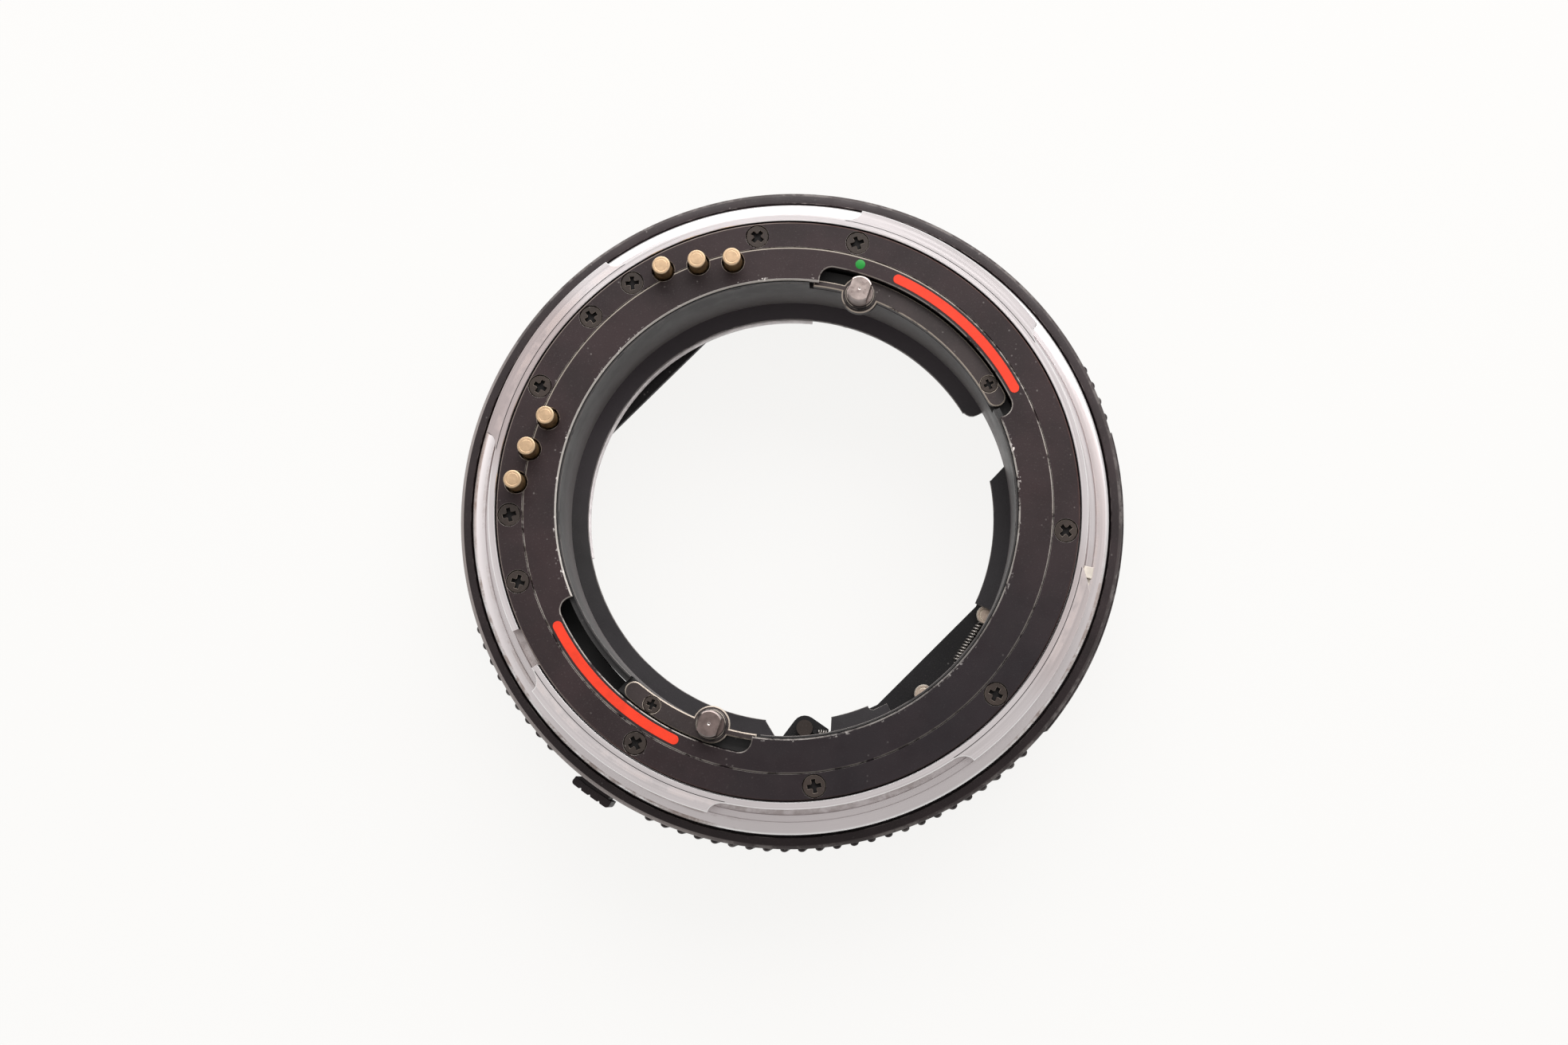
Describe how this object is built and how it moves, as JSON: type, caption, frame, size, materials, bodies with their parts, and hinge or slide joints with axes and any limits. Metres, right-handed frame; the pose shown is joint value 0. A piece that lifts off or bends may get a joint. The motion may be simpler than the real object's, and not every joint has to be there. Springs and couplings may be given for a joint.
{
  "type": "automatic extension tube",
  "caption": "Short round extension tube for a medium-format camera: black ribbed barrel, chromed bayonets, spring contacts, turning drive ring and lens release.",
  "frame": {"origin": "on the optical axis, in the plane of the front (lens) seat", "axes": "+Z along the optical axis towards the camera body, +X to the right when seen from the rear"},
  "size_m": [0.0837, 0.0838, 0.0231],
  "materials": {
    "barrel_black": "satin black",
    "black_anodised": "satin black",
    "satin_chrome": "satin",
    "gold_plate": "gold plated",
    "nickel": "polished",
    "steel": "bright",
    "brass": "turned",
    "black_screw": "black",
    "black_plastic": "matt",
    "index_red": "gloss"
  },
  "bodies": {
    "tube": {"barrel": "barrel_black", "base_screw_1": "steel", "base_screw_2": "steel", "base_screw_3": "steel", "contact_block_a": "black_plastic", "contact_block_b": "black_plastic", "contact_spring_1": "steel", "contact_spring_2": "steel", "contact_spring_3": "steel", "contact_spring_4": "steel", "contact_spring_5": "steel", "contact_spring_6": "steel", "front_bayonet": "satin_chrome", "index_bead": "index_red", "inner_plate": "black_anodised", "lever_stud": "brass", "lock_pin_spring": "steel", "mechanism_plate": "black_anodised", "mechanism_screw_1": "black_screw", "mechanism_screw_2": "black_screw", "mechanism_screw_3": "black_screw", "outer_plate": "black_anodised", "pawl_pivot": "black_anodised", "pawl_spring": "steel", "plate_screw_1": "black_screw", "plate_screw_10": "black_screw", "plate_screw_11": "black_screw", "plate_screw_2": "black_screw", "plate_screw_3": "black_screw", "plate_screw_4": "black_screw", "plate_screw_5": "black_screw", "plate_screw_6": "black_screw", "plate_screw_7": "black_screw", "plate_screw_8": "black_screw", "plate_screw_9": "black_screw", "rear_bayonet": "satin_chrome", "return_spring": "steel", "spring_stud": "brass"},
    "drive": {"arm_screw_1": "black_screw", "arm_screw_2": "black_screw", "drive_arm_lower": "black_anodised", "drive_arm_upper": "black_anodised", "drive_pin_lower": "nickel", "drive_pin_upper": "nickel", "drive_ring": "black_anodised"},
    "contact_1": {"contact_pin_1": "gold_plate"},
    "contact_2": {"contact_pin_2": "gold_plate"},
    "contact_3": {"contact_pin_3": "gold_plate"},
    "contact_4": {"contact_pin_4": "gold_plate"},
    "contact_5": {"contact_pin_5": "gold_plate"},
    "contact_6": {"contact_pin_6": "gold_plate"},
    "pawl": {"interlock_pawl": "black_anodised"},
    "stop": {"stop_lever": "black_anodised"},
    "release": {"release_slider": "steel", "release_tab": "black_anodised"},
    "lock": {"lock_pin": "steel"}
  },
  "joints": [
    {"name": "drive_turn", "type": "hinge", "parent": "tube", "child": "drive", "pos_m": [0, 0, 0.018], "axis": [0, 0, 1], "range_deg": [-40, 0]},
    {"name": "contact_press_1", "type": "slide", "parent": "tube", "child": "contact_1", "axis": [0, 0, -1], "range_m": [0, 0.002], "stiffness_N_per_m": 150, "springref_m": -0.002, "deforming": ["contact_spring_1"]},
    {"name": "contact_press_2", "type": "slide", "parent": "tube", "child": "contact_2", "axis": [0, 0, -1], "range_m": [0, 0.002], "stiffness_N_per_m": 150, "springref_m": -0.002, "deforming": ["contact_spring_2"]},
    {"name": "contact_press_3", "type": "slide", "parent": "tube", "child": "contact_3", "axis": [0, 0, -1], "range_m": [0, 0.002], "stiffness_N_per_m": 150, "springref_m": -0.002, "deforming": ["contact_spring_3"]},
    {"name": "contact_press_4", "type": "slide", "parent": "tube", "child": "contact_4", "axis": [0, 0, -1], "range_m": [0, 0.002], "stiffness_N_per_m": 150, "springref_m": -0.002, "deforming": ["contact_spring_4"]},
    {"name": "contact_press_5", "type": "slide", "parent": "tube", "child": "contact_5", "axis": [0, 0, -1], "range_m": [0, 0.002], "stiffness_N_per_m": 150, "springref_m": -0.002, "deforming": ["contact_spring_5"]},
    {"name": "contact_press_6", "type": "slide", "parent": "tube", "child": "contact_6", "axis": [0, 0, -1], "range_m": [0, 0.002], "stiffness_N_per_m": 150, "springref_m": -0.002, "deforming": ["contact_spring_6"]},
    {"name": "pawl_swing", "type": "hinge", "parent": "tube", "child": "pawl", "pos_m": [0.00196, -0.02667, 0.0082], "axis": [0, 0, 1], "range_deg": [-8, 8], "stiffness_Nm_per_rad": 0.002},
    {"name": "stop_swing", "type": "hinge", "parent": "tube", "child": "stop", "pos_m": [0.01696, -0.02234, 0.0082], "axis": [0, 0, 1], "range_deg": [-8, 0], "stiffness_Nm_per_rad": 0.002},
    {"name": "release_turn", "type": "hinge", "parent": "tube", "child": "release", "pos_m": [0, 0, 0.0087], "axis": [0, 0, 1], "range_deg": [-6, 0], "stiffness_Nm_per_rad": 0.2},
    {"name": "lock_lift", "type": "slide", "parent": "tube", "child": "lock", "axis": [0, 0, 1], "range_m": [0, 0.00142], "deforming": ["lock_pin_spring"]}
  ],
  "couplings": [
    {"joint": "lock_lift", "follows": "release_turn", "m_per_rad": -0.013369}
  ]
}
